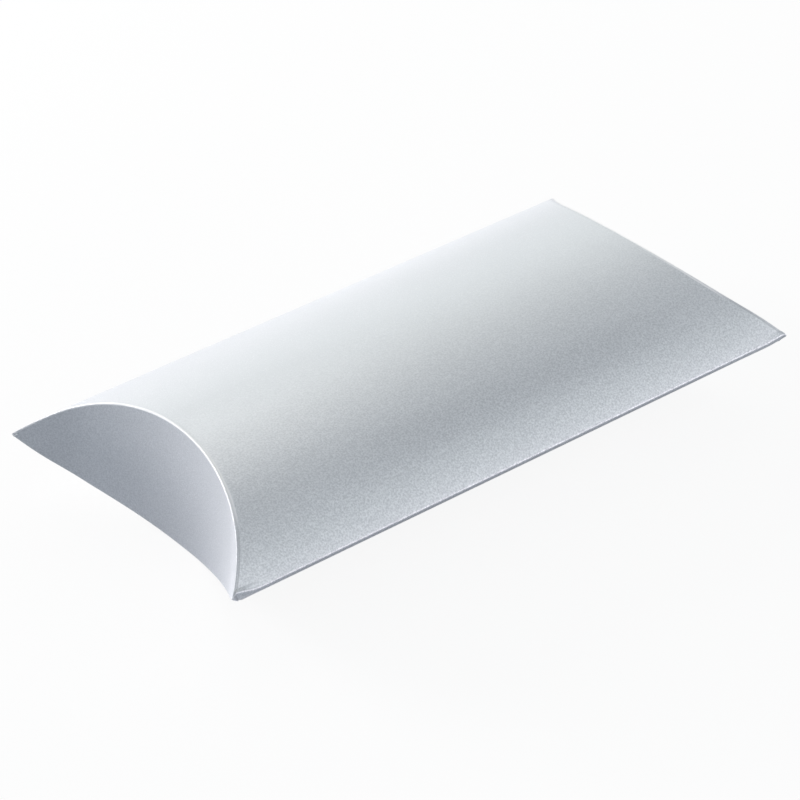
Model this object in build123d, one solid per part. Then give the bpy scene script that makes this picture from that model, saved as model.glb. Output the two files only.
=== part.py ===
from build123d import *
import os
from math import radians, sqrt, tan

# A pillow box of thin card: two crowned panels folded and glued along their long edges, with a pair of curved
# flaps at each end. X runs along the box and its front end is at -X, the visible side fold is at -Y and the
# box rests on Z = 0. Every field of the card lies on an elliptical cylinder: the panels on cylinders along X,
# the flaps on upright ones, and both meet in a curved score that lies in a plane leaning 45 degrees.

# Folded size, measured on the middle of the card
box_length = 190.0
box_width = 99.6
arch_height = 19.4
side_slope_deg = 53.3

# Card and its scores
card_thickness = 0.4
score_width = 0.8
side_fold_width = 1.2
seam_gap = 0.04

# Flaps
hinge_gap = 0.12
flap_gap = 0.3
flap_tip_relief = 1.6
inner_flap_rise = 2.9

# Band of the lower crown that is pressed flat where the box rests
rest_band_width = 12.0

# Glued edge
glue_tab_width = 14.0
glue_tab_end_relief = 24.0
glue_layer_space = 0.2
glue_film_thickness = 0.1
glue_margin = 2.0

# Overrun of cutting solids past what they cut
overrun = 5.0

FRONT, REAR = -1, 1
UPPER, LOWER = 1, -1

# The arch of a panel is the tip of an ellipse that rises arch_height and leaves the side folds at the slope
half_card = card_thickness / 2
half_score = score_width / 2
half_width = box_width / 2
sunk_share = 1 / (half_width * tan(radians(side_slope_deg)) / arch_height - 1)
rise_radius = arch_height / (1 - sunk_share)
span_radius = half_width / sqrt(1 - sunk_share**2)
sunk_depth = rise_radius - arch_height

# Height of the side folds over the surface that the flattened band rests on
band_shares = rest_band_width / 2 / (span_radius + half_card)
band_depth = (rise_radius + half_card) * (1 - sqrt(1 - band_shares**2))
fold_height = arch_height + half_card - band_depth

fold_line = half_width - side_fold_width
inner_flap_inset = card_thickness + flap_gap
reach = box_length + overrun


def skin(side, grow):
    """Solid elliptical cylinder along X, whose wall is a panel moved outwards by grow."""
    section = Pos(0, fold_height - side * sunk_depth) * Ellipse(span_radius + grow, rise_radius + grow)
    if side == LOWER:
        section &= Pos(0, half_card - grow) * Rectangle(reach, reach, align=(Align.CENTER, Align.MIN))
    return extrude(Plane.YZ * section, amount=reach, both=True)


def end_skin(end, grow):
    """Upright elliptical cylinder outside one end, whose wall is a flap moved inwards by grow."""
    section = Ellipse(rise_radius + grow, span_radius + grow)
    return extrude(Pos(end * (box_length / 2 + sunk_depth), 0) * section, amount=reach, both=True)


def score_skin(end, side, grow, inset):
    """Elliptical cylinder that leans 45 degrees through a score, moved into the box by grow from the score."""
    radii = (sqrt(2) * (rise_radius + inset / 2) + grow, span_radius + inset / 2 + grow)
    leaning = Plane(origin=(end * box_length / 2, 0, fold_height), x_dir=(-end, 0, side), z_dir=(end, 0, side))
    section = Pos(-sqrt(2) * sunk_depth, 0) * Ellipse(*radii)
    return extrude(leaning * section, amount=reach, both=True)


def band(low, high, side=None, ends=box_length):
    """Block between two widths, above or below the side folds and no longer than the given ends."""
    block = Box(ends, high - low, reach, align=(Align.CENTER, Align.MIN, Align.CENTER))
    if side is not None:
        align = Align.MIN if side == UPPER else Align.MAX
        block = Box(ends, high - low, reach, align=(Align.CENTER, Align.MIN, align))
    return Pos(0, low, fold_height) * block


def sheet(side, grow=0.0):
    """Card of one panel, moved outwards by grow, as a closed tube along X."""
    return skin(side, grow + half_card) - skin(side, grow - half_card)


def scored_ends(card, side, inset):
    """Cut both ends of a panel along its curved scores."""
    for end in (FRONT, REAR):
        card -= score_skin(end, side, half_score + seam_gap, inset)
    return card


def upper_panel():
    """Crowned top, which runs over the glue tab to the far edge."""
    card = sheet(UPPER) & skin(LOWER, half_card)
    card &= band(-fold_line, half_width + overrun, UPPER, reach)
    return scored_ends(card, UPPER, 0)


def lower_panel():
    """Crowned underside between the two side folds, flat where it rests."""
    card = sheet(LOWER) & band(-fold_line, fold_line, LOWER, reach)
    return scored_ends(card, LOWER, inner_flap_inset)


def folded_strip(low, high, sink):
    """Strip of card bent round a side fold, its upper leg sunk by sink under the upper panel."""
    outside = skin(UPPER, half_card - sink) & skin(LOWER, half_card)
    inside = skin(UPPER, -half_card - sink) & skin(LOWER, -half_card)
    strip = (outside - inside) & band(low, high, ends=reach)
    for end in (FRONT, REAR):
        strip -= end_skin(end, -half_card)
    return strip


def side_fold():
    """Scored fold along the visible long edge."""
    return folded_strip(-half_width - overrun, -fold_line - seam_gap, 0)


def glue_tab_fold():
    """Scored fold along the glued long edge, under the rim of the upper panel."""
    return folded_strip(fold_line + seam_gap, half_width + overrun, card_thickness + glue_layer_space)


def glue_tab():
    """Tab that turns inwards from the lower panel and lies under the upper one."""
    tab_span = box_length - 2 * glue_tab_end_relief
    area = band(half_width - glue_tab_width, fold_line, UPPER, tab_span)
    return sheet(UPPER, -card_thickness - glue_layer_space) & area


def seam_glue():
    """Film of glue between the tab and the upper panel."""
    depth = half_card + glue_layer_space / 2
    half_film = glue_film_thickness / 2
    film = skin(UPPER, half_film - depth) - skin(UPPER, -half_film - depth)
    film_span = box_length - 2 * (glue_tab_end_relief + glue_margin)
    return film & band(half_width - glue_tab_width + glue_margin, fold_line - glue_margin, UPPER, film_span)


def crease(end, side, inset):
    """Scored corner of card between a panel and a flap that stands inset inside the box's end."""
    outside = skin(side, half_card) - end_skin(end, inset - half_card)
    inside = skin(side, -half_card) - end_skin(end, inset + half_card)
    strip = score_skin(end, side, half_score, inset) - score_skin(end, side, -half_score, inset)
    return (outside - inside) & strip & band(-fold_line, fold_line, side)


def flap_sheet(end, side, inset):
    """Curved card of one flap up to its score, before its free edge is cut."""
    card = end_skin(end, inset + half_card) - end_skin(end, inset - half_card)
    card &= score_skin(end, side, -half_score - hinge_gap, inset)
    tip = half_width - flap_tip_relief
    return card & band(-tip, tip)


def outer_flap(end):
    """Flap hung from the upper panel that covers the whole end."""
    return flap_sheet(end, UPPER, 0) & skin(LOWER, 0)


def inner_flap(end):
    """Shorter flap that stands on the lower panel behind the outer one, to a little over half height."""
    rise_share = inner_flap_rise / arch_height
    section = Ellipse(span_radius, rise_radius * rise_share)
    edge = Plane.YZ * Pos(0, fold_height - sunk_depth * rise_share) * section
    below = extrude(edge, amount=reach, both=True) + band(-half_width, half_width, LOWER, reach)
    return flap_sheet(end, LOWER, inner_flap_inset) & below


def write(name, solid):
    """Save one piece as a named STEP file."""
    solid.label = name
    export_step(solid, "parts/" + name + ".step")


os.makedirs("parts", exist_ok=True)

write("upper_panel", upper_panel())
write("lower_panel", lower_panel())
write("side_fold", side_fold())
write("glue_tab_fold", glue_tab_fold())
write("glue_tab", glue_tab())
write("seam_glue", seam_glue())

for end, name in ((FRONT, "front"), (REAR, "rear")):
    write(name + "_outer_crease", crease(end, UPPER, 0))
    write(name + "_inner_crease", crease(end, LOWER, inner_flap_inset))
    write(name + "_outer_flap", outer_flap(end))
    write(name + "_inner_flap", inner_flap(end))
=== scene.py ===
"""Looks of a folded pillow box of pearl card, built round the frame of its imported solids.

The box is one blank of thin card. Each field of it is drawn between two curved lines, at which the card is scored
or cut. Every such line is the tip of an ellipse in a plane of its own, and a field is bridged from one line to the
next, so that it has straight rulings as bent card has. All sizes are in metres.
"""

import logging
import math
from dataclasses import dataclass
from enum import IntEnum
from functools import partial
from typing import Callable, Sequence

import bmesh
import bpy
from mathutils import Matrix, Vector

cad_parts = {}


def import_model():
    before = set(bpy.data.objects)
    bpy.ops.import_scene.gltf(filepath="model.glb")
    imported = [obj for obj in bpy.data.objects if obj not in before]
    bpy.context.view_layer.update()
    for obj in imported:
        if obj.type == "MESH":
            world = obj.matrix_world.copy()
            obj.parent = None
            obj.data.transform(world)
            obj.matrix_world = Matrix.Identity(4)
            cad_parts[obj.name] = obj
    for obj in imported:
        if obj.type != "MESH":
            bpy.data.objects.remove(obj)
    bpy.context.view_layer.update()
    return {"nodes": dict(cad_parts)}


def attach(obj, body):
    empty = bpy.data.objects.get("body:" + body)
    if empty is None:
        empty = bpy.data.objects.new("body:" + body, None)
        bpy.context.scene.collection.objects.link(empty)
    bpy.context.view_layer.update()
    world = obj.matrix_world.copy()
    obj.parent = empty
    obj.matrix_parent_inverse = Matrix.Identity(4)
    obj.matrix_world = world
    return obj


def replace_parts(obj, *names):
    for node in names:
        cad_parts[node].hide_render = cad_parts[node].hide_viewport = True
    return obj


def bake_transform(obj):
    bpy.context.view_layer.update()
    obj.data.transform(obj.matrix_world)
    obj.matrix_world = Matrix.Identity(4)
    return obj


LOG = logging.getLogger("pillow_box")

# Attributes of the card that its patterns follow
LAY = "lay"
SCORE = "score"

WHITE = (1, 1, 1, 1)

# Angle under which two faces of the card are shaded as one curve
SMOOTH_ANGLE = math.radians(32)

# Distance from a cut at which a vertex counts as lying on it
CUT_LIMIT = 1e-7

# Least heights of the arch that a sagging fold and a flap's edge are divided by, at the tips where it has none
LEAST_SAG_HEIGHT = 0.0001
LEAST_FLAP_HEIGHT = 1e-6

Pair = tuple[float, float]
Colour = tuple[float, float, float, float]

# Values at which a mask is one and zero, and the middle of a stripe if they are counted from one
Limits = tuple[float, ...]

# Grains of a noise in a metre, and the number of finer layers on top
Noise = tuple[float, float]


class End(IntEnum):
    """End of the box, as its sign along X."""

    FRONT = -1
    REAR = 1


class Face(IntEnum):
    """Crowned panel of the box, as its sign along Z."""

    UPPER = 1
    LOWER = -1


@dataclass(frozen=True)
class Arch:
    """The curve that the whole box follows, and the sizes of its card.

    Attributes:
        half_length: Half the length of the side folds.
        half_width: Half the distance between the side folds.
        rise: Height of a panel's crown over the side folds.
        side_slope: Slope at which a panel leaves the side folds.
        fold_height: Height of the side folds over the table.
        card: Thickness of the card.
        bend: Radius of the card's middle where it is folded on a score.
        stand: Height of the card's middle where the box rests.
    """

    half_length: float = 0.095
    half_width: float = 0.0498
    rise: float = 0.0194
    side_slope: float = math.radians(53.3)
    fold_height: float = 0.0194012
    card: float = 0.0004
    bend: float = 0.0003
    stand: float = 0.0002

    @property
    def sunk(self) -> float:
        """Depth of the ellipse's centre under the side folds."""
        share = 1 / (self.half_width * math.tan(self.side_slope) / self.rise - 1)
        return self.rise * share / (1 - share)

    @property
    def rise_radius(self) -> float:
        """Upright half-axis of the ellipse."""
        return self.rise + self.sunk

    @property
    def span_radius(self) -> float:
        """Level half-axis of the ellipse."""
        return self.half_width / math.sqrt(1 - (self.sunk / self.rise_radius) ** 2)

    def height(self, across: float) -> float:
        """Height of the arch over the side folds at a distance from the middle of the box."""
        return self.rise_radius * math.sqrt(max(0.0, 1 - (across / self.span_radius) ** 2)) - self.sunk


def clamp(share: float) -> float:
    """A share, kept between zero and one."""
    return min(1.0, max(0.0, share))


def ease(share: float) -> float:
    """Smooth rise from zero to one, over a share from zero to one."""
    share = clamp(share)
    return share**2 * (3 - 2 * share)


@dataclass(frozen=True)
class Sag:
    """Sag of a side fold between its tips, and the lower panel's flank that it draws flat.

    Attributes:
        side: Sign of the fold's side along Y.
        drop: How far the fold sags.
        flat: How far the flank under it is raised.
        start: Distance from the middle at which both begin.
        reach: Length at each end of the fold over which both fade.
    """

    side: int
    drop: float
    flat: float
    start: float = 0.036
    reach: float = 0.008

    def shift(self, arch: Arch, place: Vector) -> Vector:
        """Shift of a place of the card.

        Args:
            arch: The box's arch.
            place: The place on the plain arch.

        Returns:
            The shift, zero away from the fold.
        """
        across = place.y * self.side
        if across <= self.start:
            return Vector()
        share = min(1.0, (across - self.start) / (arch.half_width - self.start))
        height = arch.height(across)
        under = clamp(0.5 - 0.5 * (place.z - arch.fold_height) / max(height, LEAST_SAG_HEIGHT))
        rise = self.flat * under * math.sin(math.pi * share) ** 2 - self.drop * ease(share)
        return Vector((0, 0, rise * ease((arch.half_length - abs(place.x) - height) / self.reach)))


@dataclass(frozen=True)
class Tip:
    """Tip of a side fold that strays from the plain arch, as folded card does.

    Attributes:
        end: End of the box.
        side: Sign of the tip's side along Y.
        out: How far it is drawn out along the box.
        lift: How far it is lifted from the table.
        wide: Distances from the middle between which the draw grows.
        narrow: Distances from the middle between which the lift grows.
        reach: Length of the box over which both fade.
    """

    end: End
    side: int
    out: float
    lift: float
    wide: Pair = (0.036, 0.048)
    narrow: Pair = (0.0425, 0.0498)
    reach: float = 0.014

    def shift(self, arch: Arch, place: Vector) -> Vector:
        """Shift of a place of the card.

        Args:
            arch: The box's arch.
            place: The place on the plain arch.

        Returns:
            The shift, zero away from the tip.
        """
        across = place.y * self.side
        if place.x * self.end <= 0 or across <= self.wide[0]:
            return Vector()
        inwards = arch.half_length - abs(place.x) - arch.height(across)
        near = 1 - clamp(inwards / self.reach)
        wide, narrow = ((across - low) / (high - low) for low, high in (self.wide, self.narrow))
        return Vector((self.end * self.out * ease(wide), 0, self.lift * clamp(narrow) ** 2)) * near**2


class Bench:
    """The steps that every piece of card goes through in edit mode."""

    @staticmethod
    def clear() -> None:
        """Leave edit mode and deselect every object."""
        if bpy.context.object is not None and bpy.context.object.mode != "OBJECT":
            bpy.ops.object.mode_set(mode="OBJECT")
        bpy.ops.object.select_all(action="DESELECT")

    @staticmethod
    def take(piece: bpy.types.Object, edit: bool = True) -> None:
        """Make a piece the only selected one.

        Args:
            piece: The piece to work on.
            edit: Whether to enter edit mode on it.
        """
        Bench.clear()
        piece.select_set(True)
        bpy.context.view_layer.objects.active = piece
        if edit:
            bpy.ops.object.mode_set(mode="EDIT")

    @staticmethod
    def pick(piece: bpy.types.Object, wanted: Callable[[Vector], bool]) -> None:
        """Select the vertices at the places that are wanted, and the edges and faces between them.

        Args:
            piece: The piece, in edit mode.
            wanted: Test of a vertex's place.
        """
        bpy.ops.mesh.select_mode(type="VERT")
        bpy.ops.mesh.select_all(action="DESELECT")
        mesh = bmesh.from_edit_mesh(piece.data)
        for vertex in mesh.verts:
            vertex.select = wanted(vertex.co)
        mesh.select_flush(True)
        bmesh.update_edit_mesh(piece.data)

    @staticmethod
    def trim(place: Vector, keep: Vector) -> None:
        """Cut the piece in edit mode at a plane through a place, and keep the side that a direction points to."""
        bpy.ops.mesh.select_all(action="SELECT")
        bpy.ops.mesh.bisect(plane_co=place, plane_no=keep, clear_inner=True, threshold=CUT_LIMIT)

    @staticmethod
    def press(piece: bpy.types.Object, height: float) -> None:
        """Press everything that a piece in edit mode has under a height flat onto it."""
        Bench.pick(piece, lambda place: place.z < height)
        bpy.ops.transform.resize(value=(1, 1, 0), center_override=(0, 0, height))

    @staticmethod
    def join(pieces: Sequence[bpy.types.Object]) -> bpy.types.Object:
        """Join pieces into the first one, each keeping what is selected in it.

        Args:
            pieces: The pieces to join.

        Returns:
            The first piece, in edit mode.
        """
        Bench.clear()
        for piece in pieces:
            piece.select_set(True)
        bpy.context.view_layer.objects.active = pieces[0]
        bpy.ops.object.join()
        bpy.ops.object.mode_set(mode="EDIT")
        return pieces[0]

    @staticmethod
    def bridge(pieces: Sequence[bpy.types.Object], rows: int) -> bpy.types.Object:
        """Join pieces and bridge the two lines that are selected in them.

        Args:
            pieces: The pieces that carry the lines.
            rows: Number of cuts across the bridge.

        Returns:
            The joined piece, in edit mode.
        """
        sheet = Bench.join(pieces)
        bpy.ops.mesh.bridge_edge_loops(number_cuts=rows, interpolation="LINEAR")
        return sheet

    @staticmethod
    def face_out(piece: bpy.types.Object, outwards: Vector) -> None:
        """Turn all faces of an open sheet the same way.

        Args:
            piece: The sheet, in edit mode.
            outwards: Direction that the sheet faces on the whole.
        """
        bpy.ops.mesh.select_all(action="SELECT")
        bpy.ops.mesh.normals_make_consistent(inside=False)
        mesh = bmesh.from_edit_mesh(piece.data)
        facing = sum(f.normal.dot(outwards) * f.calc_area() for f in mesh.faces)
        if facing < 0:
            bpy.ops.mesh.flip_normals()

    @staticmethod
    def thicken(piece: bpy.types.Object, thickness: float) -> None:
        """Give an open sheet its thickness, the same on both sides, with a back and a rim of their own material.

        Args:
            piece: The sheet.
            thickness: Thickness of the card.
        """
        Bench.take(piece, edit=False)
        card = piece.modifiers.new("card", "SOLIDIFY")
        card.thickness = thickness
        card.offset = 0
        card.use_even_offset = True
        card.material_offset = 1
        card.material_offset_rim = 2
        bpy.ops.object.modifier_apply(modifier=card.name)
        bpy.ops.object.shade_smooth_by_angle(angle=SMOOTH_ANGLE)

    @staticmethod
    def mark(sheet: bpy.types.Object, arch: Arch, faces: Sequence[Face]) -> None:
        """Write each vertex's place on the plain closed box, and its distance from the sharp corner of its score.

        The patterns follow them, so that they stay put as a flap swings. On a flap the distance is below zero.

        Args:
            sheet: The sheet, in object mode.
            arch: The box's arch.
            faces: Panels at whose scores the sheet ends.
        """
        places = [vertex.co for vertex in sheet.data.vertices]
        lay = sheet.data.attributes.new(LAY, "FLOAT_VECTOR", "POINT")
        lay.data.foreach_set("vector", [axis for place in places for axis in place])
        score = sheet.data.attributes.new(SCORE, "FLOAT", "POINT")
        away = []
        for x, y, z in places:
            into = arch.half_length - abs(x)
            near = min((into - face * (z - arch.fold_height)) / math.sqrt(2) for face in faces)
            away.append(-near if into < arch.height(y) + arch.bend / 2 else near)
        score.data.foreach_set("value", away)


@dataclass(frozen=True)
class Line:
    """A curved line of the card, at a score or a cut.

    Attributes:
        end: End of the box that it belongs to.
        lead: How far it leads into the box and up, for each metre that a panel's arch rises.
        shift: Its place at the side folds, into the box from the end and up from the fold height.
        sides: Lowest and highest Y that it reaches.
        sunk: How far it lies inside the arch.
    """

    end: End
    lead: Pair
    shift: Pair = (0.0, 0.0)
    sides: Pair = (-0.0498, 0.0498)
    sunk: float = 0.0

    def draw(self, arch: Arch, steps: int = 360) -> bpy.types.Object:
        """Add the line as edges, all of them selected.

        Args:
            arch: The box's arch.
            steps: Number of steps round the whole ellipse.

        Returns:
            The line, in object mode.
        """
        into, up = self.lead
        pull = math.hypot(into, up)
        run = Vector((-self.end * into, 0, up)) / pull
        away = arch.half_length - self.shift[0] + arch.sunk * into
        centre = Vector((self.end * away, 0, arch.fold_height + self.shift[1] - arch.sunk * up))
        Bench.clear()
        bpy.ops.mesh.primitive_circle_add(
            vertices=steps, radius=1, fill_type="NOTHING", location=centre, rotation=(0, math.atan2(-run.z, run.x), 0)
        )
        line = bpy.context.object
        line.scale = ((arch.rise_radius - self.sunk) * pull, arch.span_radius - self.sunk, 1)
        bpy.ops.object.transform_apply(location=True, rotation=True, scale=True)
        bpy.ops.object.mode_set(mode="EDIT")
        low, high = self.sides
        Bench.trim(centre, run)
        Bench.trim(Vector((0, low, 0)), Vector((0, 1, 0)))
        Bench.trim(Vector((0, high, 0)), Vector((0, -1, 0)))
        bpy.ops.mesh.select_all(action="SELECT")
        bpy.ops.object.mode_set(mode="OBJECT")
        return line


class Wire:
    """A shader socket that takes part in Python arithmetic through Math nodes."""

    def __init__(self, paint: "Paint", socket: bpy.types.NodeSocket) -> None:
        """Wrap a socket of a paint's node tree."""
        self.paint = paint
        self.socket = socket

    def _with(self, operation: str, *values: "Wire | float") -> "Wire":
        """Add one Math node on this wire and the values."""
        made = self.paint.node("ShaderNodeMath", {"operation": operation}, dict(enumerate(values)))
        return Wire(self.paint, made.outputs[0])

    def __add__(self, other: "Wire | float") -> "Wire":
        """This wire plus another."""
        return self._with("ADD", self, other)

    __radd__ = __add__

    def __sub__(self, other: "Wire | float") -> "Wire":
        """This wire minus another."""
        return self._with("SUBTRACT", self, other)

    def __rsub__(self, other: float) -> "Wire":
        """A number minus this wire."""
        return self._with("SUBTRACT", other, self)

    def __mul__(self, other: "Wire | float") -> "Wire":
        """This wire times another."""
        return self._with("MULTIPLY", self, other)

    __rmul__ = __mul__

    def __abs__(self) -> "Wire":
        """This wire without its sign."""
        return self._with("ABSOLUTE", self)

    def fade(self, full: float, none: float, middle: float | None = None) -> "Wire":
        """Soft mask of this wire.

        Args:
            full: Value at which the mask is one.
            none: Value at which the mask is zero.
            middle: Middle of a stripe, from which both values are then counted to either side.

        Returns:
            The mask.
        """
        value = self if middle is None else abs(self - middle)
        limits = {"Value": value, "From Min": none, "From Max": full, "To Min": 0.0, "To Max": 1.0}
        if none > full:
            limits |= {"From Min": full, "From Max": none, "To Min": 1.0, "To Max": 0.0}
        made = self.paint.node("ShaderNodeMapRange", {"interpolation_type": "SMOOTHSTEP", "clamp": True}, limits)
        return Wire(self.paint, made.outputs["Result"])


@dataclass(frozen=True)
class Spot:
    """Where a point of the card lies.

    Attributes:
        lay: Its place on the plain closed box, with the X, Y and Z of that as along, across and height.
        score: Its distance from the sharp corner of its score, below zero on a flap.
    """

    lay: bpy.types.NodeSocket
    along: Wire
    across: Wire
    height: Wire
    score: Wire


class Paint:
    """Node tree of one material or world, wired up from Python."""

    noise_roughness = 0.55

    def __init__(self, owner: bpy.types.ID) -> None:
        """Start with an empty tree.

        Args:
            owner: The new material or world.
        """
        self.owner = owner
        self.owner.use_nodes = True
        self.tree = owner.node_tree
        self.tree.nodes.clear()

    def node(self, kind: str, settings: dict | None = None, sockets: dict | None = None) -> bpy.types.Node:
        """Add a node, with its settings before its sockets.

        Args:
            kind: Type of the node.
            settings: Settings by name.
            sockets: Wires, sockets or plain values, by name or number of the input.

        Returns:
            The node.
        """
        made = self.tree.nodes.new(kind)
        for name, value in (settings or {}).items():
            setattr(made, name, value)
        for name, value in (sockets or {}).items():
            source = value.socket if isinstance(value, Wire) else value
            if isinstance(source, bpy.types.NodeSocket):
                self.tree.links.new(source, made.inputs[name])
            else:
                made.inputs[name].default_value = source
        return made

    def lay(self) -> bpy.types.NodeSocket:
        """Place on the closed box, as the piece's own attribute gives it."""
        return self.node("ShaderNodeAttribute", {"attribute_name": LAY}).outputs["Vector"]

    def spot(self) -> Spot:
        """Where a point of the card lies.

        Returns:
            Its place on the closed box, and its distance from its score.
        """
        lay = self.lay()
        axes = self.node("ShaderNodeSeparateXYZ", None, {0: lay}).outputs
        score = self.node("ShaderNodeAttribute", {"attribute_name": SCORE}).outputs["Fac"]
        return Spot(lay, *(Wire(self, axis) for axis in axes), Wire(self, score))

    def noise(self, place: bpy.types.NodeSocket, scale: float, detail: float) -> Wire:
        """Noise at a place, with scale grains in a metre and finer layers on top; one half on average."""
        sockets = {"Vector": place, "Scale": scale, "Detail": detail, "Roughness": self.noise_roughness}
        return Wire(self, self.node("ShaderNodeTexNoise", None, sockets).outputs[0])

    def mix(self, share: Wire | float, first: object, second: object) -> bpy.types.NodeSocket:
        """Mix two colours, given as tuples or sockets, by the share of the second."""
        # A Mix node names the sockets of all its types alike, so those for colours go by their numbers.
        made = self.node("ShaderNodeMix", {"data_type": "RGBA"}, {"Factor": share, 6: first, 7: second})
        return made.outputs[2]

    def bump(self, height: Wire, depth: float, strength: float = 1.0) -> bpy.types.NodeSocket:
        """Normal of a small relief, by its height from zero to one, its depth and the share of it that shows."""
        made = self.node("ShaderNodeBump", None, {"Height": height, "Distance": depth, "Strength": strength})
        return made.outputs[0]

    def close(self, sockets: dict) -> bpy.types.Material:
        """Finish the material with one Principled shader.

        Args:
            sockets: The shader's inputs by name.

        Returns:
            The material.
        """
        shader = self.node("ShaderNodeBsdfPrincipled", None, sockets)
        self.node("ShaderNodeOutputMaterial", None, {"Surface": shader.outputs[0]})
        return self.owner


@dataclass(frozen=True)
class Patch:
    """Soft patch of the coat.

    Attributes:
        share: Share of its colour in the middle.
        across: Its limits across the box.
        along: Its limits along the box, if any.
    """

    share: float
    across: Limits
    along: Limits | None = None

    def mask(self, spot: Spot) -> Wire:
        """The patch's mask at a spot."""
        mask = self.share * spot.across.fade(*self.across)
        return mask if self.along is None else mask * spot.along.fade(*self.along)


@dataclass(frozen=True)
class FoldMarks:
    """Marks along a score: a pale line, partly coat paled by rubbing and partly a painted highlight, and painted
    shade beside it.

    Attributes:
        tips: Limits of the score's two tips, from the middle of the box.
        near: Limits across the box of its near half, on which the pale line is wider.
        low: Limits across the box of where that line divides in two.
        ending: Limits across the box of where it ends.
        crest: Limits of the line on the sharp corner, from the corner.
        flank: Limits of the wider line, on the panel and on the flap.
        twin: Limits of the second line.
        crease_shadow: Limits of both sides of the painted shadow line beside it.
        crease_shadow_half: Limits across the box of the half that has it.
        fainter: How much fainter the line is at the tips, and where it divides.
        strength: Strength of the wider and the second line.
        patches: Noise along the pale line.
        patchy: Strength of the pale line, and how much that noise adds.
    """

    tips: Limits = (0.044, 0.030)
    near: Limits = (-0.024, -0.006)
    low: Limits = (-0.030, -0.025)
    ending: Limits = (-0.034, -0.039)
    crest: Limits = (0.00020, 0.00030)
    flank: tuple[Limits, Limits] = ((0.00045, 0.00075), (-0.00025, -0.00045))
    twin: Limits = (0.00004, 0.00026, 0.00060)
    crease_shadow: tuple[Limits, Limits] = ((0.00030, 0.00022), (0.00055, 0.00080))
    crease_shadow_half: Limits = (-0.001, 0.001)
    fainter: Pair = (0.6, 0.3)
    strength: float = 0.9
    patches: Noise = (900, 2)
    patchy: Pair = (0.80, 0.4)

    def masks(self, paint: Paint, spot: Spot) -> tuple[Wire, Wire, Wire, Wire]:
        """Make the masks of the marks.

        Args:
            paint: The coat's node tree.
            spot: Where a point of the card lies.

        Returns:
            Masks of the pale lines, partly paled coat and partly painted highlight, of the second one alone, of the
            corner's near half, which takes painted shade, and of the painted shadow line.
        """
        across, score = spot.across, spot.score
        tips, near = abs(across).fade(*self.tips), across.fade(*self.near)
        low, ending = across.fade(*self.low), across.fade(*self.ending)
        crest = abs(score).fade(*self.crest)
        fainter_tips, fainter_low = self.fainter
        ridge = crest * (1 - fainter_tips * tips) * (1 - near)
        flank = score.fade(*self.flank[0]) * score.fade(*self.flank[1]) * near * (1 - fainter_low * low) * ending
        twin = score.fade(*self.twin) * low * ending
        plain, more = self.patchy
        # The pale line: partly coat paled by rubbing, partly a painted highlight where the bent card of the score
        # catches the light.
        rubbed_and_highlight = (ridge + self.strength * (flank + twin)) * (plain + more * paint.noise(spot.lay, *self.patches))
        # Painted shadow: a dark line on the panel's side of the score, near the tips of its near half.
        crease_shadow = score.fade(*self.crease_shadow[0]) * score.fade(*self.crease_shadow[1]) * tips * across.fade(*self.crease_shadow_half)
        return rubbed_and_highlight, twin, crest * near, crease_shadow


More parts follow.
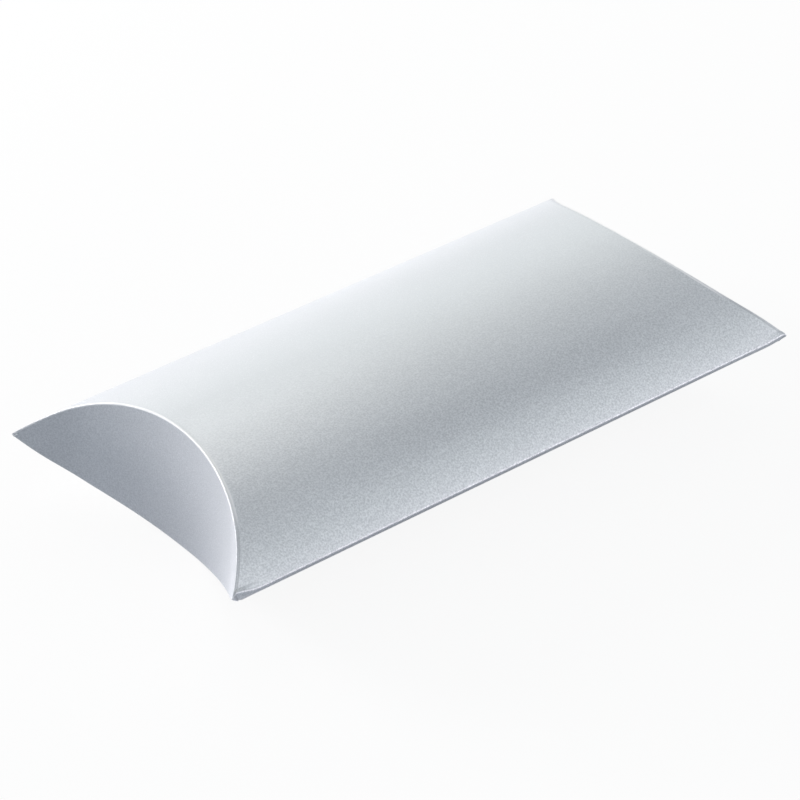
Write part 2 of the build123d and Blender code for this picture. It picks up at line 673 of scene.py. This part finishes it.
@dataclass(frozen=True)
class PearlFace:
    """Printed side of the card: a silver-white pearl coat with fine flakes, paled along the scores partly by rubbing
    and partly by a painted highlight, with painted light and shade in patches.

    Attributes:
        base: Colour of the coat.
        bright: Colour of the flakes that catch the light, and of the painted highlights.
        shade: Colour of its hollows, and of the painted shade.
        rubbed_and_highlight: Colour of the pale line on a score, partly coat paled by rubbing and partly a painted
            highlight.
        crease_shadow: Colour of the painted shadow line along a score.
        painted_underlight: Colour of the lower panel's coat, paler as painted light where the panel faces the table.
        metal: Share of metal-like flakes, and the shares of it lost on a score's pale line and under the lower
            panel's painted light.
        roughness: Roughness, and how much grain and rubbing change it.
        relief: Height of the grain, and those of a flake and of the second pale line on a score as shares of it.
        clouds: Noise of the coat's uneven tone.
        grain: Noise of its hollows.
        hollows: Limits of that noise for a hollow.
        flakes: Noise of its flakes.
        flake_cut: Limits of that noise for a flake.
        shares: Shares of the other colour in a flake, a cloud, the painted shade on the near half of a score's corner
            and the painted shadow line.
        panel: Limits of the panels, as distances from the score.
        tooth: Share of the shade in any hollow, and how much more it is on the flaps.
        deep_and_shade: Patches with deeper, darker hollows, towards the panels' near side fold and, as painted shade,
            at the flaps' far end.
        pale: Painted highlights, at the panels' front shoulder and far edge and the flaps' near end.
        dull: Painted shade, in a band over the near side fold and at the flaps' far end.
        belly: Limits of the lower panel's painted light, as heights over the table.
        underlight_share: Share of the painted light on the lower panel, and how much its clouds add.
        marks: Marks of folding along the scores.
    """

    base: Colour = (0.775, 0.797, 0.825, 1)
    bright: Colour = (0.90, 0.92, 0.95, 1)
    shade: Colour = (0.45, 0.47, 0.50, 1)
    rubbed_and_highlight: Colour = (0.93, 0.935, 0.95, 1)
    crease_shadow: Colour = (0.34, 0.35, 0.37, 1)
    painted_underlight: Colour = (0.94, 0.93, 0.91, 1)
    metal: tuple[float, float, float] = (0.7, 0.5, 0.7)
    roughness: Pair = (0.5, 0.12)
    relief: tuple[float, float, float] = (0.00004, 0.5, 1.3)
    clouds: Noise = (45, 3)
    grain: Noise = (2000, 3)
    hollows: Limits = (0.70, 0.30)
    flakes: Noise = (3800, 0)
    flake_cut: Limits = (0.72, 0.58)
    shares: tuple[float, float, float, float] = (0.5, 0.06, 0.3, 0.5)
    panel: Limits = (0.0012, -0.0002)
    tooth: Pair = (0.03, 0.09)
    deep_and_shade: tuple[Patch, ...] = (Patch(0.56, (-0.050, 0.014)), Patch(0.26, (0.045, -0.040)))
    pale: tuple[Patch, ...] = (
        Patch(0.95, (0.004, 0.021, -0.015), (-0.085, 0.015)),
        Patch(0.7, (0.044, 0.016), (0.020, -0.060)),
        Patch(0.55, (-0.036, -0.030)),
    )
    dull: tuple[Patch, ...] = (
        Patch(0.12, (0.002, 0.008, -0.0362), (0.030, 0.070, 0.012)),
        Patch(0.22, (0.043, 0.029)),
    )
    belly: Limits = (0.0150, 0.0196)
    underlight_share: Pair = (0.7, 0.6)
    marks: FoldMarks = FoldMarks()

    def material(self) -> bpy.types.Material:
        """Make the finish.

        Returns:
            The material.
        """
        paint = Paint(bpy.data.materials.new("pearl_face"))
        spot = paint.spot()
        rubbed_and_highlight, twin, corner, crease_shadow = self.marks.masks(paint, spot)
        panel = spot.score.fade(*self.panel)
        flap = 1 - panel
        cloud = paint.noise(spot.lay, *self.clouds)
        grain = paint.noise(spot.lay, *self.grain)
        flake = paint.noise(spot.lay, *self.flakes).fade(*self.flake_cut)
        # The flaps' patch of deeper hollows darkens their far end as painted shade.
        deep_panel, flap_far_shade = (patch.mask(spot) for patch in self.deep_and_shade)
        # Painted highlights: the panels' front shoulder and far edge, and the flaps' near end.
        shoulder, far_edge, near_end = (patch.mask(spot) for patch in self.pale)
        # Painted shade: a band over the near side fold, and the flaps' far end.
        band, far_end = (patch.mask(spot) for patch in self.dull)
        flake_share, cloud_share, corner_share, crease_shadow_share = self.shares
        tooth, flap_tooth = self.tooth
        hollow = (tooth + panel * deep_panel + flap * (flap_tooth + flap_far_shade)) * grain.fade(*self.hollows)
        # Clouds of random tone, and painted shade on the score's near corner, the band and the flaps' far end.
        dull = cloud_share * cloud + corner_share * corner + panel * band + flap * far_end
        pale = panel * (shoulder + far_edge) + flap * near_end
        plain, more = self.underlight_share
        # Painted light: the lower panel, which faces the table, gets a paler, less metallic coat.
        painted_underlight = panel * spot.height.fade(*self.belly) * (plain + more * cloud)
        coat = paint.mix(painted_underlight, paint.mix(flake_share * flake + pale, self.base, self.bright), self.painted_underlight)
        # The scores' pale line, partly paled coat and partly painted highlight, is mixed over the coat here.
        tone = paint.mix(rubbed_and_highlight, paint.mix(hollow + dull, coat, self.shade), self.rubbed_and_highlight)
        metal, rubbed_and_highlight_loss, underlight_metal_loss = self.metal
        roughness, change = self.roughness
        depth, flake_height, line_height = self.relief
        return paint.close(
            {
                # The painted shadow line beside the scores darkens the colour last.
                "Base Color": paint.mix(crease_shadow_share * crease_shadow, tone, self.crease_shadow),
                "Metallic": metal * (1 - rubbed_and_highlight_loss * rubbed_and_highlight) * (1 - underlight_metal_loss * painted_underlight),
                "Roughness": roughness + change * (grain - 0.5) - change * rubbed_and_highlight,
                "Normal": paint.bump(grain + flake_height * flake + line_height * twin, depth),
            }
        )


@dataclass(frozen=True)
class PlainBack:
    """Unprinted side of the card: uncoated white board with a felted surface.

    Attributes:
        base: Colour of the board.
        shade: Colour of the hollows between its fibres.
        felt: Noise of its fibres.
        clouds: Noise of its uneven tone.
        shares: Shares of the shade in both.
        roughness: Roughness, and how much the felt changes it.
        relief: Depth of the felt, and the share of it that shows.
    """

    base: Colour = (0.80, 0.80, 0.79, 1)
    shade: Colour = (0.68, 0.68, 0.67, 1)
    felt: Noise = (1500, 4)
    clouds: Noise = (90, 2)
    shares: Pair = (0.5, 0.3)
    roughness: Pair = (0.86, 0.1)
    relief: Pair = (0.00002, 0.5)

    def material(self) -> bpy.types.Material:
        """Make the finish.

        Returns:
            The material.
        """
        paint = Paint(bpy.data.materials.new("plain_back"))
        lay = paint.lay()
        felt, cloud = paint.noise(lay, *self.felt), paint.noise(lay, *self.clouds)
        felt_share, cloud_share = self.shares
        colour = paint.mix(felt_share * felt + cloud_share * cloud, self.base, self.shade)
        roughness, change = self.roughness
        rough, normal = roughness + change * (felt - 0.5), paint.bump(felt, *self.relief)
        return paint.close({"Base Color": colour, "Roughness": rough, "Normal": normal})


@dataclass(frozen=True)
class CutEdge:
    """Die-cut edge of the card: the white core between two coats, slightly crushed.

    Attributes:
        core: Colour of the core.
        crushed: Colour of the fibres that the knife has crushed.
        fibres: Noise of the fibres.
        crushing: Limits of that noise for a crushed one.
        roughness: Roughness of the edge.
        relief: Depth of the fibres, and the share of it that shows.
    """

    core: Colour = (0.84, 0.85, 0.87, 1)
    crushed: Colour = (0.66, 0.67, 0.70, 1)
    fibres: Noise = (4200, 3)
    crushing: Limits = (0.75, 0.35)
    roughness: float = 0.9
    relief: Pair = (0.00003, 0.6)

    def material(self) -> bpy.types.Material:
        """Make the finish.

        Returns:
            The material.
        """
        paint = Paint(bpy.data.materials.new("cut_edge"))
        fibre = paint.noise(paint.lay(), *self.fibres)
        colour = paint.mix(fibre.fade(*self.crushing), self.core, self.crushed)
        normal = paint.bump(fibre, *self.relief)
        return paint.close({"Base Color": colour, "Roughness": self.roughness, "Normal": normal})


@dataclass(frozen=True)
class DriedGlue:
    """Film of dried white glue.

    Attributes:
        base: Colour of the film.
        thin: Colour where it is thin.
        spread: Noise of its thickness.
        thinning: Limits of that noise for a thin place.
        roughness: Roughness, and how much the noise adds.
        relief: Depth of the noise.
    """

    base: Colour = (0.86, 0.83, 0.73, 1)
    thin: Colour = (0.74, 0.71, 0.62, 1)
    spread: Noise = (260, 3)
    thinning: Limits = (0.35, 0.65)
    roughness: Pair = (0.45, 0.2)
    relief: float = 0.00004

    def material(self) -> bpy.types.Material:
        """Make the finish.

        Returns:
            The material.
        """
        paint = Paint(bpy.data.materials.new("dried_glue"))
        spread = paint.noise(paint.node("ShaderNodeTexCoord").outputs["Object"], *self.spread)
        colour = paint.mix(spread.fade(*self.thinning), self.base, self.thin)
        roughness, more = self.roughness
        rough, normal = roughness + more * spread, paint.bump(spread, self.relief)
        return paint.close({"Base Color": colour, "Roughness": rough, "Normal": normal})


@dataclass(frozen=True)
class CardStock:
    """The card that every piece is made of.

    Attributes:
        arch: The curve and the sizes that all pieces share.
        strays: Where the whole box strays from the plain arch.
        finishes: Materials of the card's face, its back and its cut edge.
    """

    arch: Arch
    strays: tuple[Tip | Sag, ...]
    finishes: tuple[bpy.types.Material, ...]

    def finish(
        self,
        sheet: bpy.types.Object,
        name: str,
        outwards: Vector,
        faces: Sequence[Face] = tuple(Face),
        stray: Callable[[Vector], Vector] | None = None,
    ) -> bpy.types.Object:
        """Turn an open sheet into a finished piece of card.

        Args:
            sheet: The sheet, in edit mode.
            name: Name of the piece.
            outwards: Direction that its printed side faces on the whole.
            faces: Panels at whose scores the sheet ends.
            stray: Shift of each place from the plain arch, besides those of the whole box.

        Returns:
            The piece.
        """
        Bench.face_out(sheet, outwards)
        Bench.take(sheet, edit=False)
        Bench.mark(sheet, self.arch, faces)
        for vertex in sheet.data.vertices:
            place = vertex.co.copy()
            shifts = [bent.shift(self.arch, place) for bent in self.strays]
            vertex.co = place + sum(shifts, stray(place) if stray else Vector())
        Bench.thicken(sheet, self.arch.card)
        sheet.name = name
        sheet.data.name = name
        for material in self.finishes:
            sheet.data.materials.append(material)
        LOG.info("%s has %d faces", name, len(sheet.data.polygons))
        return sheet


@dataclass(frozen=True)
class Panel:
    """Crowned panel between its two curved scores.

    Attributes:
        face: Whether it is the upper or the lower one.
        sides: Lowest and highest Y of the field.
        inset: How far its scores stand inside the box's ends.
        rows: Number of cuts along the box.
    """

    face: Face
    sides: Pair
    inset: float
    rows: int = 56

    def build(self, stock: CardStock, name: str, node: str) -> None:
        """Make the panel.

        Args:
            stock: The card.
            name: Name of the piece.
            node: Solid that it stands for.
        """
        arch = stock.arch
        away = self.inset + arch.bend
        ends = [Line(end, (1, self.face), (away, 0), self.sides).draw(arch) for end in End]
        sheet = Bench.bridge(ends, self.rows)
        if self.face is Face.LOWER:
            Bench.press(sheet, arch.stand)
        piece = stock.finish(sheet, name, Vector((0, 0, self.face)), (self.face,))
        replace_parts(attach(piece, "box"), node)


@dataclass(frozen=True)
class SideBend:
    """Strip of card that is bent round a side fold.

    Attributes:
        near: Y at which the strip meets the lower panel.
        apex: Y at which its two legs meet.
        sunk: How far the upper leg lies inside the arch.
        radius: Radius of the bend.
        pinch: How far the bend rises near the front and the rear tip, where the scores pinch it.
        pinch_reach: Distances from the tip at which it is highest and has faded.
        rows: Number of cuts along the box.
        segments: Number of steps round the bend.
        weld: Distance under which the ends of the two legs are merged.
    """

    near: float
    apex: float
    sunk: float = 0.0
    radius: float = 0.0004
    pinch: Pair = (0.0015, 0.0006)
    pinch_reach: Pair = (0.0012, 0.0075)
    rows: int = 160
    segments: int = 6
    weld: float = 0.00002

    def build(self, stock: CardStock, name: str, node: str) -> None:
        """Make the strip.

        Args:
            stock: The card.
            name: Name of the piece.
            node: Solid that it stands for.
        """
        arch = stock.arch
        ends = [self._section(arch, end) for end in End]
        sheet = Bench.bridge(ends, self.rows)
        for end in End:
            for face in Face:
                Bench.trim(Vector((end * arch.half_length, 0, arch.fold_height)), Vector((-end, 0, -face)))
        pinched = partial(self._pinch, arch)
        piece = stock.finish(sheet, name, Vector((0, math.copysign(1, self.apex), 0)), stray=pinched)
        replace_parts(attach(piece, "box"), node)

    def _pinch(self, arch: Arch, place: Vector) -> Vector:
        """Shift that raises the bend near the box's tips, where the lower panel's flank shows more.

        Args:
            arch: The box's arch.
            place: A place of the strip.

        Returns:
            The shift.
        """
        inwards = arch.half_length - abs(place.x)
        high, none = self.pinch_reach
        share = min(inwards / high, (none - inwards) / (none - high))
        share *= 1 - abs((place.y - self.apex) / (self.apex - self.near))
        return Vector((0, 0, self.pinch[place.x > 0] * max(0.0, share)))

    def _section(self, arch: Arch, end: End) -> bpy.types.Object:
        """Draw the strip's bent outline at one end.

        Args:
            arch: The box's arch.
            end: End of the box.

        Returns:
            The outline, all of it selected.
        """
        sides = tuple(sorted((self.near, self.apex)))
        upper = Line(end, (0, Face.UPPER), (0, 0), sides, self.sunk).draw(arch)
        lower = Line(end, (0, Face.LOWER), (0, 0), sides).draw(arch)
        outline = Bench.join([upper, lower])
        bpy.ops.mesh.select_all(action="SELECT")
        bpy.ops.mesh.remove_doubles(threshold=self.weld)
        Bench.pick(outline, lambda place: abs(place.y - self.apex) < self.weld / 2)
        bpy.ops.mesh.bevel(offset=self.radius, segments=self.segments, affect="VERTICES")
        bpy.ops.mesh.select_all(action="SELECT")
        bpy.ops.object.mode_set(mode="OBJECT")
        return outline


@dataclass(frozen=True)
class GlueTab:
    """Tab that is glued under the upper panel.

    Attributes:
        sides: Lowest and highest Y of the tab.
        relief: Distance from the box's ends to the tab's.
        sunk: How far it lies inside the upper panel.
        rows: Number of cuts along the box.
    """

    sides: Pair = (0.0358, 0.0486)
    relief: float = 0.024
    sunk: float = 0.0006
    rows: int = 12

    def build(self, stock: CardStock) -> None:
        """Make the tab.

        Args:
            stock: The card.
        """
        ends = [Line(end, (0, 1), (self.relief, 0), self.sides, self.sunk).draw(stock.arch) for end in End]
        piece = stock.finish(Bench.bridge(ends, self.rows), "tab_card", Vector((0, 0, 1)))
        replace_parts(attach(piece, "box"), "glue_tab")


@dataclass(frozen=True)
class Flap:
    """Curved flap that closes half of an end, with the score that it swings on.

    Attributes:
        end: End of the box.
        face: Panel that it hangs from.
        inset: How far it stands inside the box's end.
        reach: Height of its free edge, as a share of the rise of its own panel; -1 is the far panel.
        tip: Distance of its two tips from the middle.
        ridge: Height of the two ridges that the scoring rule leaves.
        groove: Depth of the groove between them.
        groove_power: How narrow the groove is, as the power of a sine.
        stray: How far its free edge would stray out of the box at the tip by the visible side fold.
        stray_power: Power at which that grows from the middle.
        stray_fade: Start and length of its fading, as shares of the way to the tip.
        tuck: How far its free edge lies in, on the way to the other tip.
        tuck_rate: Rate of that; above one it ends before the tip.
        rows: Number of cuts across the flap.
        steps: Number of steps round the bend of its score.
    """

    end: End
    face: Face
    inset: float
    reach: float
    tip: float
    ridge: float = 0.00002
    groove: float = 0.00004
    groove_power: int = 8
    stray: float = 0.0
    stray_power: float = 1.45
    stray_fade: Pair = (0.67, 0.3)
    tuck: float = 0.0
    tuck_rate: float = 1.5
    rows: int = 20
    steps: int = 10

    def build(self, stock: CardStock, name: str, body: str, nodes: Sequence[str]) -> None:
        """Make the flap and the score that it hangs from.

        Args:
            stock: The card.
            name: Name of the piece.
            body: Body that the flap would swing with; not used.
            nodes: Solids that it stands for.
        """
        arch = stock.arch
        sides = (-self.tip, self.tip)
        score = Line(self.end, (1, self.face), (self.inset + arch.bend, 0), sides).draw(arch)
        self._fold(score, arch)
        edge = Line(self.end, (1, self.face * self.reach), (self.inset, 0), sides).draw(arch)
        sheet = Bench.bridge([score, edge], self.rows)
        if self.face is Face.LOWER:
            Bench.press(sheet, arch.stand)
        piece = stock.finish(sheet, name, Vector((self.end, 0, 0)), (self.face,), partial(self._stray, arch))
        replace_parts(piece, *nodes)
        into = arch.half_length - arch.rise - self.inset
        corner = Vector((self.end * into, 0, arch.fold_height + self.face * arch.rise))
        away = Vector((-self.end, 0, -self.face)).normalized()
        fall = arch.rise * (1 - self.reach) / math.sqrt(2)
        corner + away * fall
        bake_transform(piece)

    def _stray(self, arch: Arch, place: Vector) -> Vector:
        """Shift that lets the free edge stand off a little, as card that is only tucked in does.

        Args:
            arch: The box's arch.
            place: A place of the flap.

        Returns:
            The shift.
        """
        side = clamp(abs(place.y) / arch.half_width)
        height = arch.height(place.y)
        drop = (height - self.face * (place.z - arch.fold_height)) / max(2 * height, LEAST_FLAP_HEIGHT)
        if place.y < 0:
            start, length = self.stray_fade
            bow = self.stray * side**self.stray_power * (1 - ease((side - start) / length))
        else:
            bow = -self.tuck * math.sin(math.pi * clamp(self.tuck_rate * side))
        return Vector((self.end * bow * clamp(drop) ** 2, 0, 0))

    def _fold(self, score: bpy.types.Object, arch: Arch) -> None:
        """Draw the bent card of the score from the panel's edge to the flap.

        Args:
            score: The line where the panel ends, all of it selected.
            arch: The box's arch.
        """
        Bench.take(score)
        bpy.ops.mesh.select_all(action="SELECT")
        places = [self._bend_place(arch.bend, step / self.steps) for step in range(self.steps + 1)]
        for last, new in zip(places, places[1:]):
            into, up = new[0] - last[0], new[1] - last[1]
            move = (-self.end * into, 0, self.face * up)
            bpy.ops.mesh.extrude_region_move(TRANSFORM_OT_translate={"value": move})

    def _bend_place(self, radius: float, share: float) -> Pair:
        """Place on the bend, into the box and up from the sharp corner.

        Args:
            radius: Radius of the bend.
            share: Share of the quarter turn, from the panel to the flap.

        Returns:
            The place, with the score's two ridges and its groove.
        """
        turn = share * math.pi / 2
        wave = math.sin(2 * turn)
        out = radius + self.ridge * wave**2 - (self.ridge + self.groove) * wave**self.groove_power
        return radius - out * math.sin(turn), out * math.cos(turn) - radius


@dataclass(frozen=True)
class Lamp:
    """Soft lamp of the studio, aimed at the box.

    Attributes:
        name: Name of the lamp.
        azimuth: Bearing of the lamp in degrees, from +X towards +Y.
        elevation: Height of the lamp over the table in degrees.
        size: Width and height of its panel.
        power: Power in watts.
        colour: Colour of its light.
        distance: Distance from the box.
    """

    name: str
    azimuth: float
    elevation: float
    size: Pair
    power: float
    colour: tuple[float, float, float] = (1.0, 1.0, 1.0)
    distance: float = 1.2

    def hang(self) -> None:
        """Add the lamp."""
        bearing, height = math.radians(self.azimuth), math.radians(self.elevation)
        place = Vector((math.cos(bearing) * math.cos(height), math.sin(bearing) * math.cos(height), math.sin(height)))
        aim = (-place).to_track_quat("-Z", "Y").to_euler()
        bpy.ops.object.light_add(type="AREA", location=place * self.distance, rotation=aim)
        lamp = bpy.context.object
        lamp.name = self.name
        lamp.data.shape = "RECTANGLE"
        lamp.data.size, lamp.data.size_y = self.size
        lamp.data.energy = self.power
        lamp.data.color = self.colour


@dataclass(frozen=True)
class Studio:
    """Plain pale floor, soft light and the camera.

    Attributes:
        lamps: The lamps.
        sky: Strength of the light from all round.
        sky_colour: Colour of that light.
        floor_size: Side of the floor.
        floor_colour: Colour of the floor, as it lights the box.
        floor_grain: Colour of its fine grain.
        floor_noise: Noise of that grain.
        floor_share: Share of that colour.
        floor_seen: Colour of the floor that the camera sees.
        floor_glow: Share of plain white in what the camera sees of it, besides the soft shadow.
        floor_drop: How far the floor lies under the box.
        camera_place: Place of the camera.
        camera_turn: Turn of the camera.
        lens: Focal length of the camera in millimetres.
        sensor: Width of its sensor in millimetres.
        clip: Nearest and farthest distance that it sees.
    """

    lamps: tuple[Lamp, ...]
    sky: float = 0.515
    sky_colour: Colour = (0.87, 0.922, 0.975, 1)
    floor_size: float = 6.0
    floor_colour: Colour = (0.53, 0.555, 0.60, 1)
    floor_grain: Colour = (0.7, 0.7, 0.7, 1)
    floor_noise: Noise = (700, 2)
    floor_share: float = 0.06
    floor_seen: Colour = (0.95, 0.95, 0.95, 1)
    floor_glow: float = 0.9
    floor_drop: float = 0.0001
    camera_place: tuple[float, float, float] = (-0.47677, -0.62160, 0.50873)
    camera_turn: tuple[float, float, float] = (1.00769, 0.035726, -0.674538)
    lens: float = 152.36
    sensor: float = 36
    clip: Pair = (0.01, 50)

    def build(self) -> None:
        """Set the floor, the world, the lamps and the camera."""
        self._floor()
        self._sky()
        Bench.clear()
        for lamp in self.lamps:
            lamp.hang()
        bpy.ops.object.camera_add(location=self.camera_place, rotation=self.camera_turn)
        camera = bpy.context.object
        camera.data.lens = self.lens
        camera.data.sensor_width = self.sensor
        camera.data.clip_start, camera.data.clip_end = self.clip
        bpy.context.scene.camera = camera
        bpy.context.scene.view_settings.view_transform = "Standard"

    def _floor(self) -> None:
        """Lay the floor, which is white to the camera but for the box's soft shadow."""
        Bench.clear()
        bpy.ops.mesh.primitive_plane_add(size=self.floor_size, location=(0, 0, -self.floor_drop))
        floor = bpy.context.object
        floor.name = "floor"
        paint = Paint(bpy.data.materials.new("pale_floor"))
        grain = paint.noise(paint.node("ShaderNodeTexCoord").outputs["Object"], *self.floor_noise)
        seen = Wire(paint, paint.node("ShaderNodeLightPath").outputs["Is Camera Ray"])
        plain = paint.mix(self.floor_share * grain, self.floor_colour, self.floor_grain)
        lit = paint.node("ShaderNodeBsdfDiffuse", None, {"Color": paint.mix(seen, plain, self.floor_seen)})
        white = paint.node("ShaderNodeEmission", None, {"Color": WHITE, "Strength": 1.0})
        both = {0: seen * self.floor_glow, 1: lit.outputs[0], 2: white.outputs[0]}
        surface = paint.node("ShaderNodeMixShader", None, both).outputs[0]
        paint.node("ShaderNodeOutputMaterial", None, {"Surface": surface})
        floor.data.materials.append(paint.owner)

    def _sky(self) -> None:
        """Light the box evenly from all round, behind a white background."""
        paint = Paint(bpy.data.worlds.new("studio"))
        seen = paint.node("ShaderNodeLightPath").outputs["Is Camera Ray"]
        soft = paint.node("ShaderNodeBackground", None, {"Color": self.sky_colour, "Strength": self.sky})
        white = paint.node("ShaderNodeBackground", None, {"Color": WHITE, "Strength": 1.0})
        both = paint.node("ShaderNodeMixShader", None, {0: seen, 1: soft.outputs[0], 2: white.outputs[0]})
        paint.node("ShaderNodeOutputWorld", None, {"Surface": both.outputs[0]})
        bpy.context.scene.world = paint.owner


@dataclass(frozen=True)
class PillowBox:
    """The box, as the pieces that its card is folded into.

    Attributes:
        arch: The curve and the sizes that all pieces share.
        fold_line: Distance of the side folds' scores from the middle.
        inset: How far the inner flaps stand behind the outer ones.
        outer_tip: Distance of the outer flaps' tips from the middle.
        inner_tip: Distance of the inner flaps' tips from the middle.
        inner_reach: Height of the inner flaps' free edge, as a share of the lower panel's depth.
        tab_apex: Distance of the tab's bend from the middle.
        tab_sunk: How far the tab lies inside the upper panel.
        tab_radius: Radius of the tab's bend.
        front_stray: How far the front outer flap's free edge strays out and lies in.
        strays: Tips and a fold that stray from the plain arch.
    """

    arch: Arch = Arch()
    fold_line: float = 0.0486
    inset: float = 0.0007
    outer_tip: float = 0.0497
    inner_tip: float = 0.0482
    inner_reach: float = -0.1495
    tab_apex: float = 0.04943
    tab_sunk: float = 0.0006
    tab_radius: float = 0.0003
    front_stray: Pair = (0.0044, 0.0004)
    strays: tuple[Tip | Sag, ...] = (
        Tip(End.FRONT, 1, 0.0005, 0.00115),
        Tip(End.FRONT, -1, 0.0002, 0.0),
        Tip(End.REAR, -1, 0.00045, -0.0006),
        Tip(End.REAR, 1, 0.002, 0.0, (0.026, 0.046)),
        Sag(-1, 0.00035, 0.0005),
    )

    def build(self) -> None:
        """Make every piece of the box."""
        arch, edge = self.arch, self.fold_line
        stock = CardStock(arch, self.strays, (PearlFace().material(), PlainBack().material(), CutEdge().material()))
        Panel(Face.UPPER, (-edge, arch.half_width), 0).build(stock, "upper_card", "upper_panel")
        Panel(Face.LOWER, (-edge, edge), self.inset).build(stock, "lower_card", "lower_panel")
        SideBend(-edge, -arch.half_width).build(stock, "side_bend", "side_fold")
        tab_bend = SideBend(edge, self.tab_apex, self.tab_sunk, self.tab_radius, pinch=(0.0, 0.0))
        tab_bend.build(stock, "tab_bend", "glue_tab_fold")
        GlueTab(sunk=self.tab_sunk).build(stock)
        for end in End:
            self._close(stock, end)

    def _close(self, stock: CardStock, end: End) -> None:
        """Make the two flaps that close one end.

        Args:
            stock: The card.
            end: End of the box.
        """
        stray, tuck = self.front_stray if end is End.FRONT else (0.0, 0.0)
        flaps = {
            "outer": Flap(end, Face.UPPER, 0, -1, self.outer_tip, stray=stray, tuck=tuck),
            "inner": Flap(end, Face.LOWER, self.inset, self.inner_reach, self.inner_tip),
        }
        for kind, flap in flaps.items():
            body = f"{end.name.lower()}_{kind}"
            flap.build(stock, f"{body}_card", body, (f"{body}_flap", f"{body}_crease"))

    def dress_film(self, film: bpy.types.Object) -> None:
        """Give the film of glue its finish.

        Args:
            film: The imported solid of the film.
        """
        film.data.materials.clear()
        film.data.materials.append(DriedGlue().material())
        LOG.info("seam_glue is dressed")


STUDIO_LAMPS = (
    Lamp("left_softbox", 115, 14, (0.5, 0.5), 14.4, (1.0, 0.96, 0.95)),
    Lamp("back_softbox", 84, 8, (1.4, 0.28), 1.2, (1.0, 0.90, 0.86)),
    Lamp("far_softbox", 62, 30, (1.4, 0.5), 1.9, (0.97, 1.0, 0.93)),
    Lamp("top_softbox", 60, 58, (0.6, 0.6), 0.75, (1.0, 0.90, 0.72)),
    Lamp("front_strip", 296, 5, (1.4, 0.16), 5.4, (1.0, 0.94, 0.97)),
    Lamp("right_softbox", 305, 38, (0.6, 0.6), 1.0, (0.92, 1.0, 0.94)),
)


def main() -> None:
    """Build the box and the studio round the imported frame."""
    logging.basicConfig(level=logging.INFO, format="%(message)s")
    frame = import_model()
    box = PillowBox()
    box.build()
    box.dress_film(frame["nodes"]["seam_glue"])
    Studio(STUDIO_LAMPS).build()


if __name__ == "__main__":
    main()
